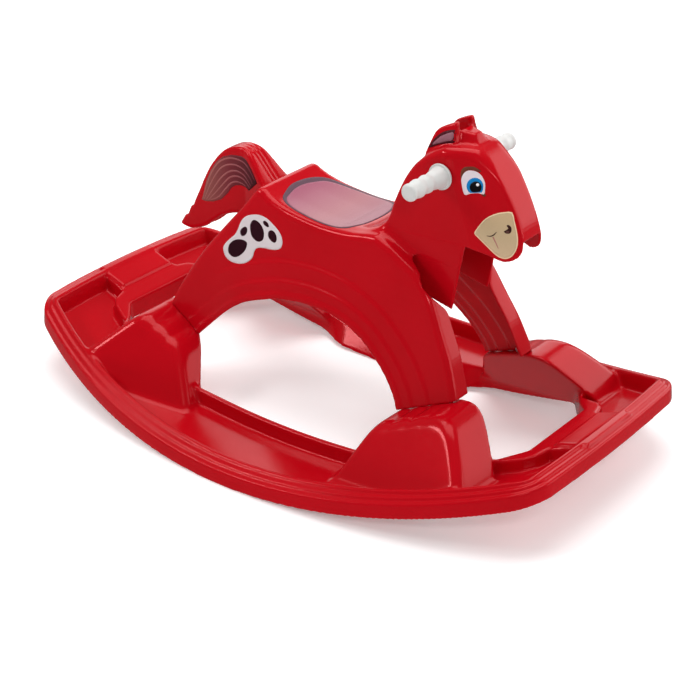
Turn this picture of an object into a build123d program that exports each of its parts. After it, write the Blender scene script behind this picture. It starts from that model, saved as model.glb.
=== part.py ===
from build123d import *
import os
import math

os.makedirs("parts", exist_ok=True)

# Child's rocking horse: one-piece boat-shaped rocker base, hollow horse body,
# two flanged hand grips on a cross rod, self-adhesive trim, foot screws.
# +X is the way the horse faces, +Y its left, +Z up, z = 0 is the floor.

# ---------------------------------------------------------------- dimensions
WALL = 4.0                 # moulded wall thickness
ROCK_R = 1262.0            # radius of the rocking edge in side view
BASE_HALF_LEN = 446.0      # half length of the base on its centre line
BASE_CORNER_X = 432.0      # x of the plan corners before rounding
BASE_CORNER_Y = 176.0      # y of the plan corners before rounding
BASE_HALF_W = 283.0        # half width of the bowed sides at mid length
CORNER_R = 50.0            # plan radius of the four corners
SKIRT_H = 22.0             # outer skirt height
RIM_H = 32.0               # height of the innermost rim ridge
RIM_W = 26.0               # rim width from the skirt to the footwell
RAIL_H = 30.0              # height of the inner rail
RAIL_Y = 158.0             # outer edge of the inner rail
OPEN_Y = 148.0             # half width of the central opening at mid length
LEG_IN_Y = 76.0            # half width of the central opening between the feet
OPEN_X = 357.0             # half length of the central opening
SHELF_H = 27.0             # height of the end shelves
SHELF_Y = 60.0             # half width of the end shelves

SIDE_Y = 97.0              # half width of the body walls at z = SIDE_Z
SIDE_Z = 130.0
SIDE_K = 0.17              # inward lean of the body walls going up
STRIP_W = 24.0             # width of the front and rear leg returns

HEAD_Y = 44.0              # half thickness of the neck and head
NOSE_Y = 22.0              # half width of the nose strip
HEAD_K = 0.30              # taper of the head sides towards the nose strip
TAIL_Y = 15.0              # half thickness of the tail from its tip to its top
TAIL_ROOT_Y = 29.0         # half thickness of the tail where it meets the seat
GRIP_X, GRIP_Z = 191.0, 413.0
GRIP_R = 12.3
GRIP_END_Y = 115.7
FLANGE_R = 17.5
ROD_R = 6.0
FIT = 0.05                 # radial clearance of rod and screws
TRIM_T = 0.4               # sticker thickness
SCREW_R = 2.0
SCREW_HEAD_R = 4.5


# ------------------------------------------------------------------- helpers
def plan_face(points):
    return make_face(Polyline(*[(x, y, 0) for x, y in points], close=True))


def side_face(points):
    return make_face(Polyline(*[(x, 0, z) for x, z in points], close=True))


def side_prism(points, y0, y1):
    face = side_face(points)
    solid = Solid.extrude(face.faces()[0], Vector(0, y1 - y0, 0))
    return Pos(0, y0, 0) * solid


def up_prism(face, z0, z1):
    return Pos(0, 0, z0) * extrude(face, amount=z1 - z0, dir=(0, 0, 1))


def sheet(low, high):
    """Curved layer of the base between two heights above the rocking edge."""
    ring = Cylinder(ROCK_R - low, 620) - Cylinder(ROCK_R - high, 640)
    ring = Pos(0, 0, ROCK_R) * Rot(90, 0, 0) * ring
    return ring & (Pos(0, 0, 70) * Box(1000, 620, 260))


def hull(points):
    """Solid convex hull of a few corner points."""
    pts = [Vector(*p) for p in points]
    faces = []
    seen = set()
    n = len(pts)
    for i in range(n):
        for j in range(i + 1, n):
            for k in range(j + 1, n):
                nrm = (pts[j] - pts[i]).cross(pts[k] - pts[i])
                if nrm.length < 1e-6:
                    continue
                nrm = nrm.normalized()
                d = [(p - pts[i]).dot(nrm) for p in pts]
                if max(d) > 1e-4 and min(d) < -1e-4:
                    continue
                on = tuple(m for m in range(n) if abs(d[m]) <= 1e-4)
                if on in seen:
                    continue
                seen.add(on)
                c = sum((pts[m] for m in on), Vector(0, 0, 0)) * (1 / len(on))
                u = (pts[on[0]] - c).normalized()
                v = nrm.cross(u)
                ring = sorted(on, key=lambda m: math.atan2((pts[m] - c).dot(v), (pts[m] - c).dot(u)))
                faces.append(Face(Wire.make_polygon([pts[m] for m in ring], close=True)))
    return Solid(Shell(faces))


def mirror_y(shape):
    return mirror(shape, about=Plane.XZ)


def inset(points, d, closed=False):
    """Offset an XZ polyline to its right-hand side by d."""
    out = []
    n = len(points)
    for i, (x, z) in enumerate(points):
        if closed:
            a, b = points[i - 1], points[(i + 1) % n]
        else:
            a, b = points[max(0, i - 1)], points[min(n - 1, i + 1)]
        dx1, dz1 = x - a[0], z - a[1]
        dx2, dz2 = b[0] - x, b[1] - z
        l1, l2 = math.hypot(dx1, dz1) or 1, math.hypot(dx2, dz2) or 1
        n1 = (dz1 / l1, -dx1 / l1)
        n2 = (dz2 / l2, -dx2 / l2)
        if l1 < 1e-9 or (x, z) == tuple(a):
            n1 = n2
        if (x, z) == tuple(b):
            n2 = n1
        mx, mz = n1[0] + n2[0], n1[1] + n2[1]
        m = math.hypot(mx, mz)
        mx, mz = mx / m, mz / m
        c = max(0.5, mx * n1[0] + mz * n1[1])
        out.append((x + mx * d / c, z + mz * d / c))
    return out


def smooth(points, per=4):
    """Points along a spline through the given points."""
    e = Spline(*[(x, z, 0) for x, z in points])
    count = (len(points) - 1) * per
    return [((e @ (i / count)).X, (e @ (i / count)).Y) for i in range(count + 1)]


def wedge(extra=0.0, z0=60.0, z1=520.0):
    """Body envelope between the two leaning side walls."""
    def half(z):
        return SIDE_Y - SIDE_K * (z - SIDE_Z) + extra
    return hull([(x, s * half(z), z) for x in (-330, 330) for s in (-1, 1) for z in (z0, z1)])


def save(shape, name, label):
    solids = shape.solids()
    out = Compound(children=[s for s in solids]) if len(solids) > 1 else solids[0]
    out.label = label
    export_step(out, f"parts/{name}.step")
    print(name, len(solids), round(sum(s.volume for s in solids)))


# --------------------------------------------------------------- rocker base
corner = (BASE_CORNER_X, BASE_CORNER_Y)
cx, cy = corner
outline = make_face(
    ThreePointArc((-cx, -cy), (0, -BASE_HALF_W), (cx, -cy))
    + ThreePointArc((cx, -cy), (BASE_HALF_LEN, 0), (cx, cy))
    + ThreePointArc((cx, cy), (0, BASE_HALF_W), (-cx, cy))
    + ThreePointArc((-cx, cy), (-BASE_HALF_LEN, 0), (-cx, -cy))
)
outline = fillet(outline.vertices(), CORNER_R)


def ring_plan(outer, inner):
    a = outline if outer == 0 else offset(outline, -outer)
    return a - offset(outline, -inner)


opening_half = [(-OPEN_X, LEG_IN_Y), (-336, 96), (-304, OPEN_Y), (304, OPEN_Y), (336, 96), (OPEN_X, LEG_IN_Y)]
opening_pts = opening_half + [(x, -y) for x, y in opening_half[::-1]]
opening = plan_face(opening_pts)
opening = fillet(opening.vertices(), 12)
rail_outer = offset(opening, RAIL_Y - OPEN_Y)
rail_wall = offset(opening, WALL)
Z0, Z1 = -20.0, 220.0


def layer(face, low, high):
    return up_prism(face, Z0, Z1) & sheet(low, high)


base = layer(ring_plan(0, WALL), 0, SKIRT_H)
base += layer(ring_plan(0, 11), SKIRT_H - WALL, SKIRT_H)
base += layer(ring_plan(8, 11.5), SKIRT_H - WALL, SKIRT_H + 5)
base += layer(ring_plan(8, 19), SKIRT_H + 1, SKIRT_H + 5)
base += layer(ring_plan(16, 19.5), SKIRT_H + 1, RIM_H)
base += layer(ring_plan(16, RIM_W), RIM_H - WALL, RIM_H)
base += layer(ring_plan(RIM_W - 3.5, RIM_W + 0.5), 4, RIM_H)
base += layer(offset(outline, -(RIM_W - 3.5)) - opening, 4, 8)
base += layer(rail_outer - offset(rail_outer, -WALL), 4, RAIL_H)
base += layer(rail_outer - opening, RAIL_H - WALL, RAIL_H)
base += layer(rail_wall - opening, 0, RAIL_H)

# end shelves, front and rear, with one long step each
for sx in (1, -1):
    shelf = plan_face([(sx * 330, -SHELF_Y - 45), (sx * 372, -SHELF_Y - 38), (sx * 384, -SHELF_Y),
                       (sx * 424, -SHELF_Y), (sx * 424, SHELF_Y), (sx * 384, SHELF_Y),
                       (sx * 372, SHELF_Y + 38), (sx * 330, SHELF_Y + 45)])
    shelf = shelf - opening
    shelf_in = offset(shelf, -WALL)
    base += layer(shelf, SHELF_H - WALL, SHELF_H)
    base += layer(shelf - shelf_in, 4, SHELF_H)
    step = plan_face([(sx * 388, -SHELF_Y + 4), (sx * 423, -SHELF_Y + 4), (sx * 423, SHELF_Y - 4), (sx * 388, SHELF_Y - 4)])
    base += layer(step, SHELF_H - 1, RIM_H)


def arc_z(x, up=0.0):
    return ROCK_R - math.sqrt((ROCK_R - up) ** 2 - x * x)


# foot mounds: (top and bottom corner points on the left side, y > 0)
REAR_SLOPE = -32.0 / 60.0


def rear_top(x):
    return 92.0 + REAR_SLOPE * (x + 187.0)


FRONT_SLOPE = 0.42


def front_top(x):
    return 92.0 + FRONT_SLOPE * (x - 171.0)


def rear_mound(d, drop):
    """d moves the walls inwards, drop lowers the foot."""
    return hull([
        (-252 + d, 74 + d, rear_top(-252 + d) - d * 1.13), (-252 + d, 156 - d, rear_top(-252 + d) - d * 1.13),
        (-186 - d, 97 + d, rear_top(-186 - d) - d * 1.13), (-178 - d, 154 - d, rear_top(-178 - d) - d * 1.13),
        (-332 + d, 96 + d, arc_z(332, 6) - drop), (-326 + d, 190 - d, arc_z(326, 6) - drop),
        (-138 - d, OPEN_Y - 6 + d, arc_z(138, 4) - drop), (-136 - d, 226 - d, arc_z(136, 6) - drop),
    ])


def front_mound(d, drop):
    return hull([
        (170 + d, 97 + d, front_top(170 + d) - d * 1.09), (166 + d, 154 - d, front_top(166 + d) - d * 1.09),
        (262 - d * 0.5, 74 + d, front_top(262 - d * 0.5) - d * 1.09), (262 - d * 0.5, 150 - d, front_top(262 - d * 0.5) - d * 1.09),
        (289 - d, 76 + d, 127 - d), (287 - d, 148 - d, 125 - d),
        (305 - d, 78 + d, 114 - d * 0.5), (303 - d, 150 - d, 112 - d * 0.5),
        (342 - d, 82 + d, arc_z(342, 26) - drop), (344 - d, 160 - d, arc_z(344, 6) - drop),
        (128 + d, OPEN_Y - 6 + d, arc_z(128, 4) - drop), (122 + d, 226 - d, arc_z(122, 6) - drop),
        (290 - d, OPEN_Y - 6 + d, arc_z(290, 4) - drop), (322 - d, 190 - d, arc_z(322, 6) - drop),
    ])


cavities = []
for maker in (rear_mound, front_mound):
    outer = maker(0.0, 0.0)
    cavity = maker(WALL, 12.0)
    base += outer
    base += mirror_y(outer)
    cavities += [cavity, mirror_y(cavity)]
# flutes across the mound tops, in front of and behind the leg joints
for k in range(4):
    t = 0.14 + 0.24 * k
    x = -247 + 64 * t
    flute = Pos(x, 130, rear_top(x) + 4.6) * Rot(90, 0, 0) * Cylinder(6.0, 40)
    base -= flute
    base -= mirror_y(flute)
    x = 176 + 88 * t
    flute = Pos(x, 128, front_top(x) + 4.6) * Rot(90, 0, 0) * Cylinder(6.0, 36)
    base -= flute
    base -= mirror_y(flute)
for cavity in cavities:
    base -= cavity

# screw positions on each foot: (x, y, slope function, slope)
FEET = []
for s in (1, -1):
    for x, y in ((-242.0, 89.5), (-226.0, 93.0)):
        FEET.append((x, s * y, rear_top, REAR_SLOPE))
    for x, y in ((232.0, 93.0), (248.0, 89.5)):
        FEET.append((x, s * y, front_top, FRONT_SLOPE))


def along_normal(x, y, top, slope, off, radius, height):
    """Cylinder normal to a mound top, its middle off above the surface."""
    ang = math.degrees(math.atan(slope))
    return Pos(x, y, top(x)) * Rot(0, -ang, 0) * Pos(0, 0, off) * Cylinder(radius, height)


for x, y, top, slope in FEET:
    base -= along_normal(x, y, top, slope, 0, SCREW_R + 0.2, 30)
save(base, "rocker_base", "rocker base")

# ---------------------------------------------------------------- horse body
rear_edge = smooth([(-247, 124), (-231, 157), (-197, 211), (-166, 251), (-131, 291)], 3)
cantle = [(-131, 291), (-112, 318), (-104, 328), (-96, 327)]
seat = smooth([(-96, 327), (-70, 315), (-40, 308.5), (10, 303.5), (54, 305), (84, 310), (102, 312)], 3)
front_edge = smooth([(124, 304), (150, 291), (174, 279), (187, 266), (202, 246), (222, 208), (238, 178), (250, 148), (257.2, front_top(257.2))], 3)
arch = smooth([(171, 92), (162, 112), (144, 136), (121, 157), (100, 172), (74, 183.5), (48, 190), (6, 192.5), (-40, 187.5), (-64, 180.5), (-98, 168), (-116, 158), (-133, 145.5), (-150, 130), (-168, 112), (-187, 92)], 2)
top_line = rear_edge + cantle[1:-1] + seat + front_edge
profile = top_line + arch
side = side_prism(profile, -140, 140)
shell_sides = (side & wedge()) - wedge(-WALL * 1.015)

# cross walls: rump, seat and shoulders full width, returns down each leg
inner_line = inset(top_line, WALL)
band = side_prism(top_line + inner_line[::-1], -140, 140) & wedge()
rear_gap = hull([(x, s * y, z) for x in (-330, 0) for s in (-1, 1) for y, z in ((LEG_IN_Y - 2, 60), (50, 236))])
front_gap = hull([(x, s * y, z) for x in (100, 330) for s in (-1, 1) for y, z in ((LEG_IN_Y - 2, 60), (48, 262))])
band -= rear_gap
band -= front_gap
# the front opening widens to the side walls below the shoulders and closes again under the neck
band -= hull([(x, s * y, z) for x in (100, 330) for s in (-1, 1) for y, z in ((49, 236), (69, 253), (69, 266), (50, 290))])
body = shell_sides + band

# raised lip around the belly arch, three steps
for k, (grow, t) in enumerate(((54, 1.0), (28, 2.0), (9, 3.0))):
    lip_line = inset(arch, grow)
    lip = side_prism(arch + lip_line[::-1], -140, 140) & side
    body += (lip & wedge(t)) - wedge(-1)
body -= Pos(0, 0, 0) * hull([(x, s * 140, z) for x, z in ((-330, 168.3), (-187 - 20, 92 + 20 * 32 / 60), (-330, 60), (-187, 60), (-187, 92)) for s in (-1, 1)])

# foot pads closing the bottom of each leg, inside the side wall
def pad(x0, y0, x1, y1, top):
    pts = [(x0, top(x0)), (x1, top(x1)), (x1, top(x1) + WALL), (x0, top(x0) + WALL)]
    plan = plan_face([(x0, y0), (x1, y1), (x1, 130), (x0, 130)])
    return side_prism(pts, 60, 140) & up_prism(plan, 60, 200) & wedge(-1)


for foot in (pad(-246.5, 76, -189, 92, rear_top), pad(173, 92, 256.5, 76, front_top)):
    body += foot
    body += mirror_y(foot)

# neck and head
head_back = smooth([(44, 304), (74, 308), (96, 319), (107, 337), (113, 356), (127, 388), (141, 411), (155, 427), (169, 440), (188, 450)], 3)
head_front = smooth([(206, 452), (223, 452), (237, 448), (254, 434), (265, 420), (276, 405), (287, 388), (296, 369), (302, 348)], 2)
head_line = head_back + head_front + [(304, 338), (303, 327), (297, 319), (287, 314)]
jaw = [(277, 314.5), (268, 317), (256, 320), (243, 322), (229, 322), (200, 304), (150, 270), (138, 262), (110, 262)]


def head_solid(d):
    line = inset(head_line, d) if d else head_line
    low = jaw if not d else [(274 - d, 302), (229, 300), (190, 280), (150, 240), (110 - d, 240)]
    if d:
        line = line[:-3] + [(300 - d, 326), (297 - d, 302)]
    body_ = side_prism(line + low, -HEAD_Y + d, HEAD_Y - d)
    # slanted cheeks: half width grows from the nose strip backwards
    cheek = hull([(x, s * (NOSE_Y - d + HEAD_K * (fx - x) / 1.0), z)
                  for s in (-1, 1) for z, fx in ((180, 372), (470, 256))
                  for x in (fx + 60, fx - 420)])
    return body_ & cheek


head = head_solid(0)
# the neck sides run on down between the front legs to a point; the throat between them is open
body += head
body -= head_solid(WALL)
body -= (Pos(150, 0, 290) * Box(70, 2 * (HEAD_Y - WALL), 60)) & head_solid(WALL)
throat_side = side_prism([(104, 292), (138, 304), (226, 324), (229, 322), (212.3, 229.5), (150, 243), (104, 270)], HEAD_Y - WALL, HEAD_Y)
body += throat_side
body += mirror_y(throat_side)

# ears and forelock
EAR_Y, EAR_Z, EAR_K, EAR_T = 22.5, 452.0, 0.26, 4.8   # ear mid plane, its lean and half thickness


def ear_slab(t):
    """Leaning flat layer that holds the left ear, t either side of its mid plane."""
    return hull([(x, EAR_Y - EAR_K * (z - EAR_Z) + e, z) for x in (140, 215) for z in (432, 486) for e in (-t, t)])


ear_outline = [(156, 432), (161.3, 448.7), (166, 461), (171.6, 467.5), (179, 472), (187.7, 476.3), (195, 479.5),
               (197.2, 478), (198.6, 462), (202, 451.4), (205, 438), (165, 432)]
ear = side_prism(ear_outline, 0, 60) & ear_slab(EAR_T)
body += ear - head_solid(WALL)
body += mirror_y(ear) - head_solid(WALL)
forelock = hull([(x, s * y, z) for s in (-1, 1) for x, y, z in
                 ((200, 20, 444), (225, 20, 444), (225, 19, 449), (201, 19, 450), (196, 9, 466), (209, 9, 467))])
body += forelock - head_solid(WALL)

# tail: hollow arch with flat sides that flare out where it meets the seat
tail_top = smooth([(-300, 206), (-287, 227), (-272, 248.5), (-258.6, 270), (-247.6, 292), (-235.3, 313), (-220, 332), (-205, 345.5), (-189.5, 352.5), (-172, 355), (-158, 350), (-144, 335), (-132, 322), (-120, 312)], 2)
tail_low = smooth([(-288, 203.5), (-278, 202.5), (-262, 207), (-245, 215.5), (-228, 229.5), (-214, 240), (-190, 250), (-165, 254)], 2)


def tail_plan(e):
    """Plan envelope of the tail, e mm outside its sides."""
    half = [(-330, TAIL_Y + e), (-168, TAIL_Y + e), (-124, TAIL_ROOT_Y + e), (-70, TAIL_ROOT_Y + e)]
    return up_prism(plan_face(half + [(x, -y) for x, y in half[::-1]]), 180, 400)


tail = side_prism(tail_top + [(-104, 300), (-140, 270)] + tail_low[::-1], -40, 40) & tail_plan(0)
tail_in_top = inset(tail_top, WALL)
tail_in = side_prism(tail_in_top[:-1] + [(-118, 304), (-146, 262)] + [(x - 1, z - 8) for x, z in tail_low[::-1]] + [(-302, 196)], -40, 40) & tail_plan(-WALL)
tail -= tail_in
for y in (-7, 0, 7):
    groove = side_prism(tail_top + inset(tail_top, 1.6)[::-1], y - 1.0, y + 1.0)
    tail -= groove
body += tail - (side & wedge())

for x, y, top, slope in FEET:
    body -= along_normal(x, y, top, slope, 0, SCREW_R + FIT, 30)
body -= Pos(GRIP_X, 0, GRIP_Z) * Rot(90, 0, 0) * Cylinder(ROD_R + FIT, 140)
save(body, "horse_body", "horse body")

# -------------------------------------------------------------- grips and rod
rod = Pos(GRIP_X, 0, GRIP_Z) * Rot(90, 0, 0) * Cylinder(ROD_R, 2 * 104)
save(rod, "handle_rod", "handle cross rod")
grip_profile = [(0, HEAD_Y), (FLANGE_R - 1, HEAD_Y), (FLANGE_R, HEAD_Y + 1), (FLANGE_R, HEAD_Y + 2.6), (FLANGE_R - 0.8, HEAD_Y + 3.4),
                (16.4, HEAD_Y + 3.4), (15.4, HEAD_Y + 2.8), (14.6, HEAD_Y + 3.6), (14.0, HEAD_Y + 7), (13.0, HEAD_Y + 13), (12.2, HEAD_Y + 18),
                (11.3, 66), (11.0, 69), (11.4, 72), (12.2, 77), (11.4, 82), (11.0, 85.7), (11.4, 89), (12.2, 95), (11.5, 100), (10.9, 105.7),
                (11.3, 108), (11.6, 110), (11.2, 113.4), (9.4, 115.2), (7, GRIP_END_Y), (0, GRIP_END_Y)]
face = make_face(Polyline(*[(r, yy, 0) for r, yy in grip_profile], close=True))
grip = revolve(face, axis=Axis.Y)
grip -= Pos(0, 72, 0) * Rot(90, 0, 0) * Cylinder(ROD_R + FIT, 66)
grip = Pos(GRIP_X, 0, GRIP_Z) * grip
cheek_trim = head_solid(0)
save(grip - cheek_trim, "hand_grip_left", "left hand grip")
save(mirror_y(grip) - cheek_trim, "hand_grip_right", "right hand grip")

# -------------------------------------------------------------------- screws
screws = None
for x, y, top, slope in FEET:
    shank = along_normal(x, y, top, slope, 0.2, SCREW_R, 9.6)
    cap = along_normal(x, y, top, slope, -WALL - 1.5 - 0.2, SCREW_HEAD_R, 3)
    one = shank + cap
    screws = one if screws is None else screws + one
save(screws, "foot_screws", "foot screws")

# --------------------------------------------------------------- self-adhesive trim
saddle_pts = smooth([(-86, 0), (-83, -22), (-74, -45), (-50, -54), (-20, -58), (15, -59), (42, -54), (57, -34), (63, 0), (57, 34), (42, 54), (15, 59), (-20, 58), (-50, 54), (-74, 45), (-83, 22), (-86, 0)], 3)
saddle_plan = plan_face(saddle_pts[:-1])
seat_cut = seat
film = side_prism([(x, z + TRIM_T) for x, z in seat_cut] + seat_cut[::-1], -70, 70)
saddle = (up_prism(saddle_plan, 280, 360) & film) - head_solid(0) - (tail)
save(saddle, "saddle_sticker", "saddle sticker")


def side_sticker(points, name, label):
    """Film on the leaning left and right body walls."""
    left = side_prism(points, 0, 140) & (wedge(TRIM_T) - wedge(0))
    save(left, name + "_left", "left " + label)
    save(mirror_y(left), name + "_right", "right " + label)


side_sticker([(-154.6, 229), (-153.7, 234), (-146.9, 242.5), (-135.8, 253.8), (-130.7, 263.5), (-127.2, 273.9), (-120.6, 282.7), (-110.5, 288.2), (-95.9, 291.9), (-82.3, 290.6), (-68.1, 284.2), (-56.8, 276.6), (-51.1, 267.5), (-51.1, 259.2), (-55.6, 253.3), (-67.1, 249.7), (-82, 248.2), (-93.7, 245.1), (-98.3, 239.1), (-102, 233), (-107, 228), (-114, 224.5), (-125.4, 222), (-137.7, 221), (-149, 223.5)], "rump_spots_sticker", "rump spots sticker")


def head_sticker(points, name, label):
    outer = side_prism(points, 0, HEAD_Y + TRIM_T)
    cheek = hull([(x, s * (NOSE_Y + TRIM_T + HEAD_K * (fx - x)), z)
                  for s in (-1, 1) for z, fx in ((180, 372), (470, 256))
                  for x in (fx + 60, fx - 420)])
    left = (outer & cheek) - head_solid(0)
    left = Compound(children=[s for s in left.solids() if s.center().Y > 5])
    save(left, name + "_left", "left " + label)
    save(mirror_y(left), name + "_right", "right " + label)


head_sticker([(220, 408), (218.5, 421.5), (222.6, 430.5), (232.6, 432.5), (243.3, 427.1), (249, 417), (251, 408), (250.6, 400), (238, 396), (226, 395.7)], "eye_sticker", "eye sticker")
head_sticker([(242.5, 346.5), (249.2, 359.8), (259.1, 371.5), (272.1, 378.5), (284, 380), (289, 364), (293, 348), (294, 335), (290, 326), (284, 321), (277, 322), (263.4, 328.8)], "muzzle_sticker", "muzzle sticker")

ear_trim = [(161.2, 440), (163.8, 447.9), (173.3, 459.9), (182.9, 467), (196, 470), (197, 463.7), (199.1, 454.5), (187.5, 451.5), (175.1, 446.5)]
tail_trim = [(-252, 256.5), (-247.2, 270.1), (-241.4, 288), (-232.4, 306), (-220.5, 323), (-207.4, 333.5), (-191.5, 340), (-174.1, 342), (-161.5, 339), (-150, 329), (-141, 319),
             (-137, 314), (-147.1, 304.3), (-157.3, 295.2), (-166.8, 297.8), (-176, 298.1), (-185.6, 295.5), (-193.7, 289.6), (-200.5, 279.6), (-213.7, 266.4), (-230.1, 258.9), (-244.8, 255.8)]
e = side_prism(ear_trim, 0, 60) & (ear_slab(EAR_T + TRIM_T) - ear_slab(EAR_T))
e = Compound(children=[q for q in e.solids() if q.center().Y > EAR_Y])
t = side_prism(tail_trim, 0, 60) & (tail_plan(TRIM_T) - tail_plan(0))
for s, nm in ((1, "left"), (-1, "right")):
    if s < 0:
        e, t = mirror_y(e), mirror_y(t)
    save(e, "ear_sticker_" + nm, nm + " ear sticker")
    save(t, "tail_sticker_" + nm, nm + " tail sticker")
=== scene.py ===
import math
import bpy
import bmesh
import numpy as np
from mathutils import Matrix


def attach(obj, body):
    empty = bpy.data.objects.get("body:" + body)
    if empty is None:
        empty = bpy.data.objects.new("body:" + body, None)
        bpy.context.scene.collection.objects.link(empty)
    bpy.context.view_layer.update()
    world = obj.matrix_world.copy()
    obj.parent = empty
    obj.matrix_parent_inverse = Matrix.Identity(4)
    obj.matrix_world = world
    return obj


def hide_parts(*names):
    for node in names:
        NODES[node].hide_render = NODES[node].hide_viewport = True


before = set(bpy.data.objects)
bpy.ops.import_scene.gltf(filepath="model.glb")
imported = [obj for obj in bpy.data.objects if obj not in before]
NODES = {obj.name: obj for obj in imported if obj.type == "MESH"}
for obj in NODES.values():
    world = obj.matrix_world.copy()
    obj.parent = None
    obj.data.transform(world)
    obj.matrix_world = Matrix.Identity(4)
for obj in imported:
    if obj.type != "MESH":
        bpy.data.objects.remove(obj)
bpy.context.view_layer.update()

import openvdb
from mathutils import Vector, Matrix
from mathutils.bvhtree import BVHTree
from mathutils.geometry import delaunay_2d_cdt

scene = bpy.context.scene

# ------------------------------------------------------------------ camera
AZ, EL, ROLL = math.radians(37.937), math.radians(27.764), math.radians(-0.118)
back = Vector((math.sin(AZ) * math.cos(EL), -math.cos(AZ) * math.cos(EL), math.sin(EL)))
right0 = Vector((math.cos(AZ), math.sin(AZ), 0.0))
up0 = back.cross(right0)
right = right0 * math.cos(ROLL) + up0 * math.sin(ROLL)
up = up0 * math.cos(ROLL) - right0 * math.sin(ROLL)
cam_data = bpy.data.cameras.new("camera")
cam_data.lens = 94.12
cam_data.sensor_width = 36.0
cam_data.clip_end = 50.0
cam = bpy.data.objects.new("camera", cam_data)
scene.collection.objects.link(cam)
m = Matrix((right, up, back)).transposed().to_4x4()
m.translation = Vector((1.4313, -1.8242, 1.3038))
cam.matrix_world = m
scene.camera = cam

# ------------------------------------------------- distance-field utilities
F32 = np.float32


def smin(a, b, k):
    h = np.clip(0.5 + 0.5 * (b - a) / k, 0, 1)
    return b + (a - b) * h - k * h * (1 - h)


def smax(a, b, k):
    h = np.clip(0.5 - 0.5 * (b - a) / k, 0, 1)
    return b + (a - b) * h + k * h * (1 - h)


def step01(x, a, b):
    t = np.clip((x - a) / (b - a), 0, 1)
    return t * t * (3 - 2 * t)


def spline(points, per=6):
    """Centripetal-like Catmull-Rom through the points."""
    p = np.array(points, float)
    q = np.vstack([2 * p[0] - p[1], p, 2 * p[-1] - p[-2]])
    out = []
    for i in range(1, len(q) - 2):
        for t in np.arange(per) / per:
            a, b, c, d = q[i - 1], q[i], q[i + 1], q[i + 2]
            out.append(0.5 * (2 * b + (c - a) * t + (2 * a - 5 * b + 4 * c - d) * t * t + (3 * b - a - 3 * c + d) * t ** 3))
    out.append(p[-1])
    return [tuple(v) for v in out]


def poly(points, u, v):
    """Signed distance in 2-D, negative inside; u is a column, v a row."""
    p = np.array(points, F32)
    u = u.reshape(-1, 1).astype(F32)
    v = v.reshape(1, -1).astype(F32)
    best = np.full((u.shape[0], v.shape[1]), 1e12, F32)
    inside = np.zeros(best.shape, bool)
    for i in range(len(p)):
        a, b = p[i - 1], p[i]
        e = b - a
        l2 = float(e @ e)
        if l2 < 1e-12:
            continue
        wu, wv = u - a[0], v - a[1]
        t = np.clip((wu * e[0] + wv * e[1]) / l2, 0, 1)
        du, dv = wu - t * e[0], wv - t * e[1]
        np.minimum(best, du * du + dv * dv, out=best)
        cond = (a[1] > v) != (b[1] > v)
        if abs(e[1]) > 1e-9:
            xs = a[0] + (v - a[1]) * (e[0] / e[1])
            inside ^= cond & (u < xs)
    d = np.sqrt(best)
    return np.where(inside, -d, d)


def plane3(a, b, c, X, Y, Z, inside):
    """Distance to the plane through three points, negative on the side of the inside point."""
    a, b, c = (np.array(q, float) for q in (a, b, c))
    n = np.cross(b - a, c - a)
    n /= np.linalg.norm(n)
    if n @ (np.array(inside, float) - a) > 0:
        n = -n
    return (n[0] * (X - a[0]) + n[1] * (Y - a[1]) + n[2] * (Z - a[2])).astype(F32)


def blur(d):
    """One light 3-D binomial pass."""
    for ax in range(3):
        d = np.moveaxis(d, ax, 0)
        e = d.copy()
        e[1:-1] = 0.25 * d[:-2] + 0.5 * d[1:-1] + 0.25 * d[2:]
        d = np.moveaxis(e, 0, ax)
    return d


def mesh_from_field(name, half, lo, h, adaptivity, material):
    """half holds y = 0, h, 2h ...; the mirrored whole becomes a mesh with field normals."""
    full = np.concatenate([half[:, :0:-1, :], half], axis=1).astype(F32)
    origin = np.array([lo[0], -(half.shape[1] - 1) * h, lo[2]])
    band = 3.0 * h
    clipped = np.clip(full, -band, band)
    grid = openvdb.FloatGrid(background=float(band))
    grid.copyFromArray(np.ascontiguousarray(clipped))
    pts, tris, quads = grid.convertToPolygons(isovalue=0.0, adaptivity=adaptivity)
    pts = np.asarray(pts, float)
    faces = [tuple(int(i) for i in q[::-1]) for q in quads] + [tuple(int(i) for i in t[::-1]) for t in tris]
    me = bpy.data.meshes.new(name)
    co = (pts * h + origin) * 0.001
    me.from_pydata(co.tolist(), [], faces)
    me.update()
    # normals from the field gradient
    g = pts
    i0 = np.clip(np.floor(g).astype(int), 1, np.array(full.shape) - 3)
    f = g - i0

    def sample(off):
        j = i0 + off
        s = 0.0
        for dx in (0, 1):
            for dy in (0, 1):
                for dz in (0, 1):
                    w = (f[:, 0] if dx else 1 - f[:, 0]) * (f[:, 1] if dy else 1 - f[:, 1]) * (f[:, 2] if dz else 1 - f[:, 2])
                    jj = np.minimum(np.maximum(j + (dx, dy, dz), 0), np.array(full.shape) - 1)
                    s = s + w * full[jj[:, 0], jj[:, 1], jj[:, 2]]
        return s
    n = np.stack([sample((1, 0, 0)) - sample((-1, 0, 0)), sample((0, 1, 0)) - sample((0, -1, 0)), sample((0, 0, 1)) - sample((0, 0, -1))], -1)
    n /= np.maximum(np.linalg.norm(n, axis=1, keepdims=True), 1e-9)
    me.polygons.foreach_set("use_smooth", [True] * len(me.polygons))
    # make sure that faces point outwards
    p = me.polygons[len(me.polygons) // 2]
    if Vector(p.normal).dot(Vector(n[p.vertices[0]])) < 0:
        me.flip_normals()
    me.normals_split_custom_set_from_vertices(n.tolist())
    me.materials.append(material)
    ob = bpy.data.objects.new(name, me)
    scene.collection.objects.link(ob)
    print("MESH", name, "verts", len(pts), "faces", len(faces))
    return ob


def axes(lo, hi, h):
    return [np.arange(lo[i], hi[i] + h * 0.5, h).astype(F32) for i in range(3)]


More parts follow.
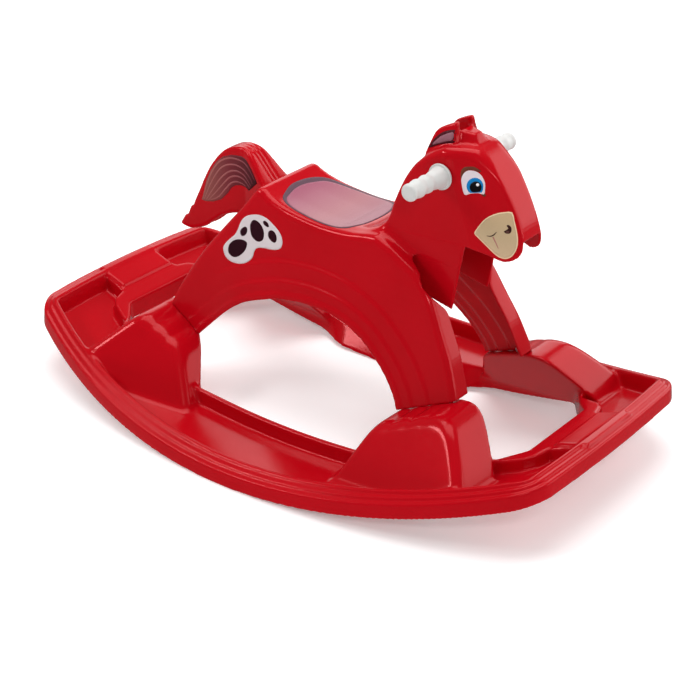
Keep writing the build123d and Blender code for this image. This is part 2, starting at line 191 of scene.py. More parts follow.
# ----------------------------------------------------------------- materials
def nt_of(name):
    mat = bpy.data.materials.new(name)
    mat.use_nodes = True
    nt = mat.node_tree
    return mat, nt, nt.nodes["Principled BSDF"]


def add(nt, kind, **values):
    n = nt.nodes.new(kind)
    for k, v in values.items():
        setattr(n, k, v)
    return n


def coords(nt):
    return add(nt, "ShaderNodeTexCoord").outputs["Object"]


def noise(nt, scale, detail=3.0, rough=0.5, vec=None):
    n = add(nt, "ShaderNodeTexNoise")
    n.inputs["Scale"].default_value = scale
    n.inputs["Detail"].default_value = detail
    n.inputs["Roughness"].default_value = rough
    nt.links.new(vec if vec is not None else coords(nt), n.inputs["Vector"])
    return n.outputs["Fac"]


def ramp(nt, fac, stops):
    r = add(nt, "ShaderNodeValToRGB")
    while len(r.color_ramp.elements) < len(stops):
        r.color_ramp.elements.new(0.5)
    for e, (pos, col) in zip(r.color_ramp.elements, stops):
        e.position = pos
        e.color = (*col, 1.0) if len(col) == 3 else col
    nt.links.new(fac, r.inputs["Fac"])
    return r.outputs["Color"]


def maprange(nt, fac, a, b, c, d):
    n = add(nt, "ShaderNodeMapRange")
    for key, val in zip(("From Min", "From Max", "To Min", "To Max"), (a, b, c, d)):
        n.inputs[key].default_value = val
    nt.links.new(fac, n.inputs["Value"])
    return n.outputs["Result"]


def bump(nt, bsdf, height, strength, distance):
    b = add(nt, "ShaderNodeBump")
    b.inputs["Strength"].default_value = strength
    b.inputs["Distance"].default_value = distance
    nt.links.new(height, b.inputs["Height"])
    nt.links.new(b.outputs["Normal"], bsdf.inputs["Normal"])
    return b


def mix(nt, fac, a, b, blend="MIX"):
    n = add(nt, "ShaderNodeMix", data_type="RGBA", blend_type=blend)
    for key, v in (("Factor", fac), ("A", a), ("B", b)):
        sock = [s for s in n.inputs if s.name == key and (s.type == "RGBA" or key == "Factor")][0]
        if isinstance(v, (int, float)):
            sock.default_value = v
        elif isinstance(v, tuple):
            sock.default_value = (*v, 1.0)
        else:
            nt.links.new(v, sock)
    return [o for o in n.outputs if o.type == "RGBA"][0]


def red_plastic(name, tone=1.0):
    mat, nt, b = nt_of(name)
    big = noise(nt, 9.0, 2.0)
    fine = noise(nt, 160.0, 4.0, 0.6)
    col = ramp(nt, big, [(0.25, (0.455 * tone, 0.0012, 0.006)), (0.75, (0.505 * tone, 0.0018, 0.008))])
    col = mix(nt, maprange(nt, fine, 0.3, 0.8, 0.0, 0.12), col, (0.42 * tone, 0.001, 0.005))
    nt.links.new(col, b.inputs["Base Color"])
    nt.links.new(maprange(nt, fine, 0.3, 0.75, 0.13, 0.19), b.inputs["Roughness"])
    b.inputs["IOR"].default_value = 1.5
    b.inputs["Specular IOR Level"].default_value = 0.40
    b.inputs["Specular Tint"].default_value = (1.0, 0.32, 0.33, 1.0)
    peel = noise(nt, 38.0, 1.5, 0.4)
    bump(nt, b, peel, 0.02, 0.003)
    return mat


def white_plastic(name):
    mat, nt, b = nt_of(name)
    fine = noise(nt, 260.0, 3.0, 0.6)
    big = noise(nt, 30.0, 2.0)
    col = ramp(nt, big, [(0.2, (0.60, 0.60, 0.585)), (0.8, (0.66, 0.66, 0.645))])
    nt.links.new(col, b.inputs["Base Color"])
    nt.links.new(maprange(nt, fine, 0.3, 0.7, 0.36, 0.48), b.inputs["Roughness"])
    bump(nt, b, fine, 0.08, 0.0006)
    return mat


def print_film(name, color, second=None, scale=18.0, rough=(0.36, 0.46), amount=0.35):
    """Printed vinyl: slight ink mottling, fine grain and a soft satin."""
    mat, nt, b = nt_of(name)
    tone = noise(nt, scale, 2.0)
    grain = noise(nt, 700.0, 2.0, 0.7)
    second = second or tuple(c * 0.9 for c in color)
    col = mix(nt, maprange(nt, tone, 0.3, 0.7, 0.0, amount), color, second)
    col = mix(nt, maprange(nt, grain, 0.35, 0.75, 0.0, 0.10), col, tuple(c * 0.8 for c in color))
    nt.links.new(col, b.inputs["Base Color"])
    nt.links.new(maprange(nt, grain, 0.3, 0.7, *rough), b.inputs["Roughness"])
    b.inputs["Specular IOR Level"].default_value = 0.14
    bump(nt, b, grain, 0.03, 0.0003)
    return mat


def steel(name):
    mat, nt, b = nt_of(name)
    fine = noise(nt, 500.0, 3.0, 0.6)
    col = ramp(nt, fine, [(0.3, (0.50, 0.50, 0.52)), (0.7, (0.62, 0.62, 0.63))])
    nt.links.new(col, b.inputs["Base Color"])
    b.inputs["Metallic"].default_value = 1.0
    nt.links.new(maprange(nt, fine, 0.3, 0.7, 0.25, 0.4), b.inputs["Roughness"])
    return mat


RED = red_plastic("red_gloss_plastic")
WHITE = white_plastic("white_satin_plastic")
STEEL = steel("zinc_steel")

# ================================================================ rocker base
R = 1262.0
WALL = 4.0


def rear_top(x):
    return 92.0 - 32.0 / 60.0 * (x + 187.0)


def front_top(x):
    return 92.0 + 0.42 * (x - 171.0)


def build_base():
    h = 1.8
    lo, hi = (-458.0, 0.0, -6.0), (458.0, 296.0, 142.0)
    xs, ys, zs = axes(lo, hi, h)
    X, Y, Z = xs[:, None, None], ys[None, :, None], zs[None, None, :]
    lh = (R - np.sqrt(X * X + (R - Z) ** 2)).astype(F32)          # height above the rocking edge
    # plan outline: bowed sides and ends, rounded corners
    x2, y2 = xs[:, None], ys[None, :]
    rs = (438.0 ** 2 + 103.0 ** 2) / (2 * 103.0)
    d_side = np.hypot(x2, y2 - (283.0 - rs)) - rs
    re = (180.0 ** 2 + 8.0 ** 2) / (2 * 8.0)
    d_end = np.hypot(np.abs(x2) + re - 446.0, y2) - re
    rc = 28.0
    a, b = d_side + rc, d_end + rc
    out = (np.minimum(np.maximum(a, b), 0) + np.hypot(np.maximum(a, 0), np.maximum(b, 0)) - rc).astype(F32)
    P = out[:, :, None]
    # central opening
    half = [(-357, 0), (-357, 70), (-338, 92), (-300, 148), (300, 148), (338, 92), (357, 70), (357, 0)]
    full = half + [(x, -y) for x, y in half[::-1]]
    p_open = poly([(x * 0.972, y * 0.93) for x, y in full], xs, ys) - 10.0
    PO = p_open[:, :, None]
    # footwell floor, rim in three ridges, inner rail
    S = smax(P, lh - 8.0, 2.0)
    draft = 0.14 * (lh - 8.0)
    for off, top in ((0.0, 22.0), (8.6, 27.0), (17.4, 32.0)):
        ring = smax(smax(P + off + 0.10 * (lh - top), -(P + 28.5 + 0 * lh) + draft, 2.0), lh - top, 3.2)
        S = smin(S, ring, 2.2 if off else 3.0)
    rail = smax(PO - 10.0 + draft, lh - 30.0, 4.5)
    rail = smax(rail, np.abs(X) - 330.0, 4.0)
    S = smin(S, rail, 3.0)
    # end shelves with one step
    for sx in (-1.0, 1.0):
        sh = [(sx * 318, 0), (sx * 318, 112), (sx * 340, 108), (sx * 366, 96), (sx * 380, 82), (sx * 386, 62), (sx * 400, 60), (sx * 434, 60), (sx * 434, 0)]
        sh = sh + [(x, -y) for x, y in sh[::-1]]
        ps = poly(sh, xs, ys)[:, :, None]
        S = smin(S, smax(ps + draft, lh - 27.0, 4.0), 4.0)
        st = [(sx * 386, 0), (sx * 386, 54), (sx * 436, 54), (sx * 436, 0)]
        st = st + [(x, -y) for x, y in st[::-1]]
        pt = poly(st, xs, ys)[:, :, None]
        S = smin(S, smax(pt + 0.3 * (lh - 27), lh - 30.5, 2.0), 1.6)
    # foot mounds leaning inwards, like the feet of the legs
    flute_on = step01(Y, 96.0, 104.0)
    sr = (-(X + 252.0)) * -1.0
    fr = 1.5 * np.abs(np.sin(np.pi * (X + 252.0) / 24.0)) * step01(X, -254.0, -248.0)
    ff = 1.5 * np.abs(np.sin(np.pi * (X - 168.0) / 26.0))
    rear = (Z - rear_top(X) - (fr - 1.5) * flute_on) / 1.133
    inside = (-230, 130, 60)
    rear_parts = [
        plane3((-252, 156, 127), (-178, 154, 87), (-232, 214, 30), X, Y, Z, inside),
        plane3((-253, 74, 127), (-253, 156, 127), (-330, 120, 52), X, Y, Z, inside),
        plane3((-180, 154, 88), (-184, 98, 90), (-140, 160, 16), X, Y, Z, inside),
    ]
    rear = smax(rear, rear_parts[0], 12.0)
    rear = smax(rear, rear_parts[1], 12.0)
    rear = smax(rear, rear_parts[2], 9.0)
    rear = smax(rear, plane3((-187, 97, 92), (-250, 74, 126), (-238, 148, 30), X, Y, Z, inside), 3.0)
    front = (Z - front_top(X) - (ff - 1.5) * flute_on * step01(X, 285.0, 262.0)) / 1.085
    inside = (230, 130, 60)
    front = smax(front, (Z - 127.5 + 0.12 * (X - 275.0)) / 1.0, 10.0)
    front = smax(front, plane3((289, 80, 128), (289, 150, 127), (306, 120, 114), X, Y, Z, inside), 12.0)
    front = smax(front, plane3((304, 80, 116), (304, 150, 115), (336, 120, 72), X, Y, Z, inside), 14.0)
    front = smax(front, plane3((166, 154, 90), (285, 150, 126), (235, 212, 28), X, Y, Z, inside), 12.0)
    front = smax(front, plane3((168, 154, 91), (171, 98, 92), (134, 160, 12), X, Y, Z, inside), 9.0)
    front = smax(front, plane3((171, 97, 92), (262, 74, 130), (225, 148, 22), X, Y, Z, inside), 3.0)
    M = smax(np.minimum(rear, front), P + 24.0, 6.0)
    # opening cut: plates and rails only, flared walls along the middle
    flare = 0.72 * step01(-np.abs(X), -165.0, -100.0) + 0.06
    cut = (PO + flare * (30.0 - lh)) / np.sqrt(1 + flare * flare)
    S = smax(S, -cut, 3.0)
    S = smin(S, M, 7.0)
    S = blur(S.astype(F32))
    shell = smax(S, -(S + max(WALL, 2.4 * h)), 0.8)
    shell = smax(shell, -lh + 0.2, 1.2)
    return mesh_from_field("rocker_base_visual", shell, lo, h, 0.0, RED)


# ================================================================= horse body
rear_edge = spline([(-285, 50), (-265, 88), (-247, 124), (-231, 157), (-197, 211), (-166, 251), (-131, 293), (-110, 321)], 4)
cantle = [(-104, 327), (-96, 327)]
seat = spline([(-88, 322), (-70, 315), (-40, 308.5), (10, 303.5), (54, 305), (84, 310), (102, 312)], 4)
front_edge = spline([(124, 304), (150, 291), (174, 279), (187, 266), (202, 246), (222, 208), (238, 178), (250, 148), (257.2, 128), (268, 96), (282, 50)], 4)
arch = spline([(182, 64), (171, 92), (162, 112), (144, 136), (121, 157), (100, 172), (74, 183.5), (48, 190), (6, 192.5), (-40, 187.5), (-64, 180.5), (-98, 168), (-116, 158), (-133, 145.5), (-150, 130), (-168, 112), (-187, 92), (-200, 72)], 3)
head_back = spline([(44, 300), (74, 305), (94, 316), (106, 335), (113, 356), (127, 388), (141, 411), (155, 427), (169, 440), (188, 450)], 4)
head_front = spline([(204, 452.5), (223, 453), (237, 448.5), (254, 435), (266, 421), (277, 405), (288, 386), (297, 367), (303, 350), (305, 338), (303, 326), (296, 318), (286, 313.5), (277, 313.8), (268, 316.5), (256, 320), (243, 322.5), (229, 324)], 4)
tail_top = [(-300, 206), (-289, 222.5), (-284, 224.5), (-277, 239.5), (-272, 242.5)] + spline([(-268, 252), (-258.6, 270), (-247.6, 292), (-235.3, 313), (-220, 332), (-205, 345.5), (-189.5, 353), (-172, 355.5), (-158, 351), (-144, 337.5), (-132, 324), (-118, 310), (-104, 300)], 4)
tail_low = spline([(-140, 266), (-165, 255), (-190, 250), (-214, 240), (-228, 229.5), (-245, 215.5), (-262, 207), (-278, 202.5), (-290, 203), (-298, 205)], 4)


def build_body():
    h = 1.7
    lo, hi = (-312.0, 0.0, 74.0), (322.0, 118.0, 490.0)
    xs, ys, zs = axes(lo, hi, h)
    X, Y, Z = xs[:, None, None], ys[None, :, None], zs[None, None, :]
    prof = poly(rear_edge + cantle + seat + front_edge, xs, zs)[:, None, :]
    d_arch2 = poly(arch + [(-200, 0), (182, 0)], xs, zs)
    A = d_arch2[:, None, :]                                    # positive above the arch
    fade = step01(X, -175.0, -120.0)
    relief = 2.1 * fade * (1 - step01(A, 51.0, 54.5)) + 2.3 * (0.25 + 0.75 * fade) * (1 - step01(A, 25.0, 28.5)) + 1.6 * (1 - step01(A, 8.0, 11.0))
    wall = (Y - (97.0 - 0.17 * (Z - 130.0)) - relief + 0.6) / math.sqrt(1 + 0.17 ** 2)
    # seat is slightly dished across
    dish = 3.0 * (1 - step01(Y, 20.0, 62.0)) * step01(X, -92.0, -60.0) * (1 - step01(X, 70.0, 110.0)) * step01(Z, 270, 295)
    torso = smax(prof + dish, wall, 9.0)
    torso = torso.astype(F32)
    # neck and head
    head_poly = head_back + head_front + [(212.3, 229.5), (150, 243), (104, 262), (44, 262)]
    H = poly(head_poly, xs, zs)[:, None, :]
    fx = 256 + (470 - Z) * (116.0 / 290.0)
    cheek_w = np.minimum(22.0 + 0.30 * (fx - X), 44.0 + 0 * X)
    neck_w = 44.0 + 4.0 * step01(-Z, -350.0, -300.0)
    half_w = smin(cheek_w + 0 * Y, neck_w + 0 * cheek_w, 6.0)
    cheek = (Y - half_w) / 1.03
    Hd = smax(H, cheek, 3.6 + 10.0 * step01(Z, 415.0, 446.0) + 4.0 * step01(-X, -200.0, -150.0))
    D = smin(torso, Hd.astype(F32), 5.0 + 11.0 * step01(Z, 272.0, 300.0))
    # tail
    T = poly(tail_top + tail_low, xs, zs)[:, None, :]
    groove = 0.0
    for gy in (0.0, 7.0):
        groove = groove + 1.2 * np.exp(-(((Y - gy) / 1.5) ** 2))
    tw = Y - (15.0 + np.interp(xs, [-168.0, -122.0], [0.0, 14.0]).astype(F32)[:, None, None])
    T = smax(T + groove * step01(T, -12.0, -4.0), tw, 6.0)
    D = smin(D, T.astype(F32), 5.0)
    # ears and forelock
    ear = poly(spline([(156, 432), (161.3, 448.7), (166, 461), (171.6, 467.5), (179, 472), (187.7, 476.3), (195, 479.5)], 3) + [(197.2, 478.6), (198.6, 462), (202, 451.4), (206, 440), (204, 430), (165, 425)], xs, zs)[:, None, :]
    yc = 22.5 - 0.26 * (Z - 452.0) + 0.0 * X
    E = smax(ear, np.abs(Y - yc) - 4.8, 2.4)
    FL = smax(Z - 467.0 + 0.10 * (X - 200.0), (Y - 20.0 + (Z - 449.0) * 0.48 + 0.30 * (X - 204.0)) / 1.16, 2.5)
    FL = smax(FL, (X - 226.0 + (Z - 448.0) * 0.45) / 1.1, 3.0)
    FL = smax(FL, np.maximum((201.0 - 0.28 * (Z - 448.0)) - X, 430.0 - Z), 2.0)
    D = smin(D, E.astype(F32), 2.0)
    D = smin(D, FL.astype(F32), 5.0)
    # thin shell, open underneath
    D = blur(D.astype(F32))
    shell = smax(D, -(D + max(4.0, 2.4 * h)), 0.8)
    # openings: arch, leg gaps, underside of the head, tail end
    shell = smax(shell, -A, 1.6)
    gap_w = 74.0 - (Z - 60.0) * (24.0 / 176.0)
    gr = np.maximum(np.maximum(np.maximum(Y - gap_w, Z - 236.0), X - 0.0), prof - 9.0)
    G = poly([(-1, 40), (76, 40), (74, 60), (49, 224), (51, 232), (60, 243), (69, 254), (70.5, 263), (67, 273), (58, 282), (50, 289), (42, 296), (-1, 298)], ys, zs)[None, :, :]
    gf = np.maximum(G, 96.0 - X)
    shell = smax(shell, -gr, 2.0)
    shell = smax(shell, -gf, 2.0)
    # the head is hollow and open below and at the end of the nose
    und = poly([(200, 190), (196, 296), (208, 308), (229, 326), (262, 330), (282, 342.5), (330, 342.5), (330, 190)], xs, zs)[:, None, :]
    shell = smax(shell, -np.maximum(und, Y - (half_w - 4.2)), 1.2)
    tail_cut = np.maximum(poly([(-300, 190), (-296, 205), (-268, 212), (-240, 224), (-215, 190)], xs, zs)[:, None, :], Y - 10.6)
    shell = smax(shell, -tail_cut, 1.2)
    # neck sides running on down to a point between the front legs
    t_max = max(4.0, 2.4 * h)
    tp = poly([(96, 318), (229, 326), (229, 324), (212.3, 229.5), (150, 243), (96, 262)], xs, zs)[:, None, :]
    plate = smax(np.maximum(cheek, -(cheek + t_max)), tp, 1.0)
    shell = smin(shell, plate.astype(F32), 1.5)
    # foot ends rest on the mounds
    shell = smax(shell, np.where(X < 0, (rear_top(X) - Z) / 1.133, (front_top(X) - Z) / 1.085) * (Z < 150) + np.where(Z < 150, 0.0, -50.0), 0.6)
    return mesh_from_field("horse_body_visual", shell, lo, h, 0.0, RED)


base = build_base()
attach(base, "root")
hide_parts("rocker_base")
body = build_body()
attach(body, "root")
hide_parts("horse_body")

# ================================================================= hand grips
def build_grip(name, sign):
    """Turned, closed lathe shape about the grip axis, y growing outwards."""
    prof = [(0.0, 43.6), (16.2, 43.6), (17.1, 44.0), (17.6, 45.0), (17.6, 46.6), (17.2, 47.3), (16.6, 47.4), (16.0, 47.0), (15.4, 46.8), (14.9, 47.1), (14.5, 48.0)]
    prof += spline([(14.3, 49.2), (13.9, 52.0), (13.2, 56.0), (12.5, 60.0), (12.0, 63.0), (11.2, 66.6), (10.9, 69.0), (11.3, 72.0), (12.3, 76.8), (11.5, 81.6), (10.8, 85.5), (11.4, 89.6), (12.4, 94.8), (11.4, 100.8), (10.8, 105.4), (11.2, 108.0), (11.7, 110.4), (11.3, 113.0), (10.0, 114.8), (8.0, 115.6)], 4)
    prof += [(4.0, 115.7), (0.0, 115.7)]
    n = 112
    verts, faces = [], []
    ring = []
    for r, y in prof:
        if r == 0.0:
            ring.append([len(verts)])
            verts.append((0.191, sign * y * 0.001, 0.413))
            continue
        ids = []
        for k in range(n):
            a = 2 * math.pi * k / n
            ids.append(len(verts))
            verts.append((0.191 + 0.001 * r * math.cos(a), sign * y * 0.001, 0.413 + 0.001 * r * math.sin(a)))
        ring.append(ids)
    for a, b in zip(ring, ring[1:]):
        for k in range(n):
            k2 = (k + 1) % n
            if len(a) == 1:
                f = (a[0], b[k], b[k2])
            elif len(b) == 1:
                f = (a[k], b[0], a[k2])
            else:
                f = (a[k], b[k], b[k2], a[k2])
            faces.append(f if sign > 0 else f[::-1])
    me = bpy.data.meshes.new(name)
    me.from_pydata(verts, [], faces)
    me.update()
    bm = bmesh.new()
    bm.from_mesh(me)
    bmesh.ops.recalc_face_normals(bm, faces=bm.faces)
    bm.to_mesh(me)
    bm.free()
    me.polygons.foreach_set("use_smooth", [True] * len(me.polygons))
    me.materials.append(WHITE)
    ob = bpy.data.objects.new(name, me)
    scene.collection.objects.link(ob)
    return ob


for nm, sg in (("left", 1.0), ("right", -1.0)):
    g = build_grip("hand_grip_%s_visual" % nm, sg)
    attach(g, "root")
    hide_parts("hand_grip_" + nm)

# ============================================================ self-adhesive trim
def lin(r, g, b):
    return tuple((v / 255 / 12.92) if v <= 10 else (((v / 255) + 0.055) / 1.055) ** 2.4 for v in (r, g, b))


bm = bmesh.new()
bm.from_mesh(body.data)
TREE = BVHTree.FromBMesh(bm)
bm.free()


def resample(pts, step, closed=True):
    out = []
    n = len(pts)
    for i in range(n if closed else n - 1):
        a, b = pts[i], pts[(i + 1) % n]
        k = max(1, int(math.ceil(math.hypot(b[0] - a[0], b[1] - a[1]) / step)))
        for t in range(k):
            out.append((a[0] + (b[0] - a[0]) * t / k, a[1] + (b[1] - a[1]) * t / k))
    if not closed:
        out.append(pts[-1])
    return out


def loop(points, per=4):
    """Closed smooth outline."""
    p = [np.array(q, float) for q in points]
    n = len(p)
    out = []
    for i in range(n):
        a, b, c, d = p[i - 1], p[i], p[(i + 1) % n], p[(i + 2) % n]
        for t in np.arange(per) / per:
            out.append(tuple(0.5 * (2 * b + (c - a) * t + (2 * a - 5 * b + 4 * c - d) * t * t + (3 * b - a - 3 * c + d) * t ** 3)))
    return out


def ribbon(points, widths):
    """Outline of a tapering stroke along a smooth open line."""
    c = np.array(spline(points, 6))
    w = np.interp(np.linspace(0, 1, len(c)), np.linspace(0, 1, len(widths)), widths) / 2
    d = np.gradient(c, axis=0)
    d /= np.maximum(np.linalg.norm(d, axis=1, keepdims=True), 1e-9)
    nrm = np.stack([-d[:, 1], d[:, 0]], -1) * w[:, None]
    return [tuple(v) for v in (c + nrm)] + [tuple(v) for v in (c - nrm)[::-1]]


def sheet(points, step):
    """Triangles filling a flat outline."""
    ring = resample(points, step)
    p = np.array(ring)
    lo, hi = p.min(0), p.max(0)
    gx, gy = np.meshgrid(np.arange(lo[0], hi[0], step), np.arange(lo[1], hi[1], step))
    gx = gx + (np.arange(gx.shape[0]) % 2)[:, None] * step / 2
    cand = np.stack([gx.ravel(), gy.ravel()], -1)
    keep = []
    q = np.roll(p, -1, 0)
    for c in cand:
        e = q - p
        t = np.clip(((c - p) * e).sum(1) / np.maximum((e * e).sum(1), 1e-12), 0, 1)
        if np.min(np.hypot(*(c - p - e * t[:, None]).T)) < step * 0.45:
            continue
        cross = ((p[:, 1] > c[1]) != (q[:, 1] > c[1]))
        dy = np.where(cross, q[:, 1] - p[:, 1], 1.0)
        if (cross & (c[0] < p[:, 0] + (c[1] - p[:, 1]) * (q[:, 0] - p[:, 0]) / dy)).sum() % 2:
            keep.append(tuple(c))
    pts = ring + keep
    out = delaunay_2d_cdt([Vector(v) for v in pts], [], [list(range(len(ring)))], 1, 1e-6)
    return [tuple(v) for v in out[0]], [tuple(f) for f in out[2]]


def build_trim(name, node, layers, side):
    """layers: (outline, height above the surface in mm, material). side -1 right, +1 left, 0 on top."""
    verts, faces, slots, mats = [], [], [], []
    for outline, height, mat in layers:
        if mat not in mats:
            mats.append(mat)
        step = (2.4)
        p2, tris = sheet(outline, step)
        top, bot = [], []
        for a, b in p2:
            if side:
                o, d = Vector((a * 0.001, side * 0.3, b * 0.001)), Vector((0, -side, 0))
            else:
                o, d = Vector((a * 0.001, b * 0.001, 0.6)), Vector((0, 0, -1))
            hit = TREE.ray_cast(o, d)[0]
            if hit is None:
                hit = o + d * 0.3
            top.append(hit - d * height * 0.001)
            bot.append(hit - d * (height - 0.34) * 0.001)
        base_i, n = len(verts), len(p2)
        verts += top + bot
        count = {}
        for f in tris:
            u = [top[i] for i in f]
            nrm = (u[1] - u[0]).cross(u[2] - u[0])
            want = Vector((0, side, 0)) if side else Vector((0, 0, 1))
            if nrm.dot(want) < 0:
                f = f[::-1]
            faces.append(tuple(base_i + i for i in f))
            faces.append(tuple(base_i + n + i for i in f[::-1]))
            slots += [mats.index(mat)] * 2
            for i in range(len(f)):
                e = (f[i], f[(i + 1) % len(f)])
                count[e] = count.get(e, 0) + 1
        for (i, j) in [e for e in count if (e[1], e[0]) not in count]:
            faces.append((base_i + j, base_i + i, base_i + n + i, base_i + n + j))
            slots.append(mats.index(mat))
    me = bpy.data.meshes.new(name)
    me.from_pydata([tuple(v) for v in verts], [], faces)
    me.update()
    for m_ in mats:
        me.materials.append(m_)
    me.polygons.foreach_set("material_index", slots)
    me.polygons.foreach_set("use_smooth", [len(p_.vertices) == 3 for p_ in me.polygons])
    ob = bpy.data.objects.new(name, me)
    scene.collection.objects.link(ob)
    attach(ob, "root")
    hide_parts(node)
    return ob


def film_gradient(name, stops, axis, lo, hi, grain_amount=0.12, rough=(0.3, 0.42)):
    """Printed film whose ink shifts along one direction of the part."""
    mat, nt, b = nt_of(name)
    sep = add(nt, "ShaderNodeSeparateXYZ")
    nt.links.new(coords(nt), sep.inputs[0])
    base = ramp(nt, maprange(nt, sep.outputs[axis], lo, hi, 0.0, 1.0), stops)
    grain = noise(nt, 600.0, 2.0, 0.7)
    col = mix(nt, maprange(nt, grain, 0.35, 0.75, 0.0, grain_amount), base, tuple(c * 0.6 for c in stops[0][1]))
    nt.links.new(col, b.inputs["Base Color"])
    nt.links.new(maprange(nt, grain, 0.3, 0.7, *rough), b.inputs["Roughness"])
    b.inputs["Specular IOR Level"].default_value = 0.14
    bump(nt, b, grain, 0.03, 0.0003)
    return mat


F_WHITE = print_film("film_white", lin(214, 206, 208), lin(205, 190, 194), 40.0)
F_PLUM = print_film("film_plum", lin(44, 4, 20), lin(34, 4, 14), 60.0)
F_BORDER = film_gradient("film_saddle_border", [(0.0, lin(96, 70, 82)), (0.5, lin(92, 66, 78)), (1.0, lin(86, 62, 74))], 0, -0.09, 0.065)
F_SADDLE = film_gradient("film_saddle", [(0.0, lin(158, 88, 110)), (0.55, lin(172, 118, 124)), (1.0, lin(164, 118, 128))], 0, -0.085, 0.06)
F_TAIL = film_gradient("film_tail", [(0.0, lin(146, 84, 78)), (0.5, lin(118, 42, 50)), (1.0, lin(60, 8, 20))], 0, -0.25, -0.145)
F_HAIR = film_gradient("film_tail_hair", [(0.0, lin(176, 108, 100)), (0.6, lin(152, 82, 86)), (1.0, lin(110, 40, 56))], 0, -0.25, -0.14)
F_EAR = print_film("film_ear_edge", lin(70, 10, 22), lin(90, 14, 30), 50.0)
F_EARIN = print_film("film_ear_inner", lin(146, 96, 108), lin(132, 84, 98), 50.0)
F_EYE = print_film("film_eye_white", lin(226, 214, 220), lin(214, 200, 208), 50.0)
F_BLUE = print_film("film_eye_blue", lin(10, 120, 186), lin(20, 140, 205), 120.0)
F_BLACK = print_film("film_black", lin(10, 8, 14), lin(18, 10, 16), 80.0)
F_GLINT = print_film("film_glint", lin(246, 246, 250), lin(238, 238, 244), 80.0)
F_LID = print_film("film_lid_brown", lin(112, 58, 40), lin(96, 40, 32), 120.0, amount=0.8)
F_CREAM = print_film("film_muzzle_edge", lin(240, 214, 176), lin(232, 204, 164), 50.0)
F_BEIGE = film_gradient("film_muzzle", [(0.0, lin(206, 178, 144)), (0.5, lin(196, 172, 136)), (1.0, lin(196, 168, 130))], 2, 0.32, 0.38)
F_LINE = print_film("film_line_brown", lin(58, 26, 22), lin(44, 18, 16), 90.0)
F_PINK = print_film("film_line_pink", lin(178, 112, 108), lin(186, 128, 116), 90.0)
F_NOSE = print_film("film_nostril_inner", lin(92, 60, 54), lin(80, 48, 44), 90.0)

RUMP = loop([(-154.6, 227.2), (-153.7, 233.5), (-146.9, 242.5), (-135.8, 253.8), (-130.7, 263.5), (-127.2, 273.9), (-120.6, 282.7), (-110.5, 288.2), (-95.9, 291.9), (-82.3, 290.6), (-68.1, 284.2), (-56.8, 276.6), (-51.1, 267.5), (-51.1, 259.2), (-55.6, 253.3), (-67.1, 249.7), (-82.0, 248.2), (-93.7, 245.1), (-98.3, 239.1), (-100.4, 230.8), (-105.0, 224.2), (-113.5, 218.3), (-125.4, 214.5), (-137.7, 213.6), (-149.0, 217.8)], 3)
SPOTS = [
    [(-145.7, 230.8), (-143.4, 238.6), (-135.0, 246.2), (-123.1, 249.9), (-113.8, 248.8), (-112.4, 243.2), (-116.7, 233.6), (-126.5, 224.4), (-135.4, 221.5), (-143.4, 224.2)],
    [(-126.5, 259.8), (-124.7, 265.0), (-118.4, 269.6), (-114.4, 267.7), (-114.5, 261.7), (-118.5, 256.5), (-123.7, 255.2)],
    [(-107.9, 264.6), (-109.7, 273.6), (-107.4, 280.1), (-103.2, 283.0), (-96.3, 282.3), (-89.0, 277.7), (-84.5, 270.6), (-84.2, 261.2), (-88.8, 255.9), (-96.2, 254.5), (-104.2, 258.4)],
    [(-87.5, 284.0), (-84.8, 286.5), (-79.4, 284.9), (-76.4, 280.9), (-78.7, 278.9), (-84.9, 280.5)],
    [(-76.9, 270.2), (-74.5, 275.0), (-68.7, 276.4), (-63.1, 272.6), (-60.8, 266.1), (-63.2, 260.8), (-69.2, 261.0), (-74.8, 264.8)],
]
TAIL = [(-252.0, 256.5), (-247.2, 270.1), (-241.4, 288.5), (-232.4, 306.8), (-220.5, 323.6), (-207.4, 334.2), (-191.5, 340.6), (-174.1, 343.0), (-161.5, 340.0), (-150.0, 330.4), (-141.0, 320.0), (-136.0, 314.1), (-147.1, 304.3), (-157.3, 295.2), (-166.8, 297.8), (-176.0, 298.1), (-185.6, 295.5), (-193.7, 289.6), (-200.5, 279.6), (-213.7, 266.4), (-230.1, 258.9), (-244.8, 255.8)]
HAIR = [
    [(-249.4, 259.8), (-240.0, 284.9), (-227.7, 308.6), (-214.2, 324.7), (-198.1, 333.7), (-182.4, 336.3), (-165.4, 333.5), (-152.3, 325.9), (-142.4, 315.6)],
    [(-246.6, 259.1), (-233.9, 285.0), (-220.1, 306.4), (-206.9, 319.6), (-192.2, 325.7), (-179.6, 326.5), (-165.8, 322.3), (-153.5, 315.6), (-147.9, 309.1)],
    [(-242.7, 259.0), (-227.8, 280.8), (-213.3, 299.4), (-200.1, 311.6), (-187.3, 317.4), (-175.2, 317.3), (-163.5, 312.4), (-152.0, 304.2)],
    [(-238.5, 259.2), (-221.6, 277.5), (-208.2, 292.5), (-196.6, 304.4), (-184.4, 309.8), (-172.8, 309.4), (-161.8, 304.3), (-155.1, 299.6)],
    [(-234.3, 259.9), (-217.8, 270.2), (-204.3, 285.6), (-194.4, 296.1), (-184.7, 301.2), (-174.9, 301.6), (-165.0, 298.9)],
]
EAR_OUT = loop([(161.2, 440.5), (163.8, 448.4), (173.3, 459.9), (182.9, 466.6), (196.5, 470.5), (197.6, 463.7), (198.4, 455.5), (187.5, 451.8), (175.1, 447.3)], 3)
EAR_IN = loop([(166.0, 446.2), (176.2, 458.1), (187.1, 464.6), (194.6, 466.8), (194.9, 457.8), (186, 454.1), (175, 449.2)], 3)
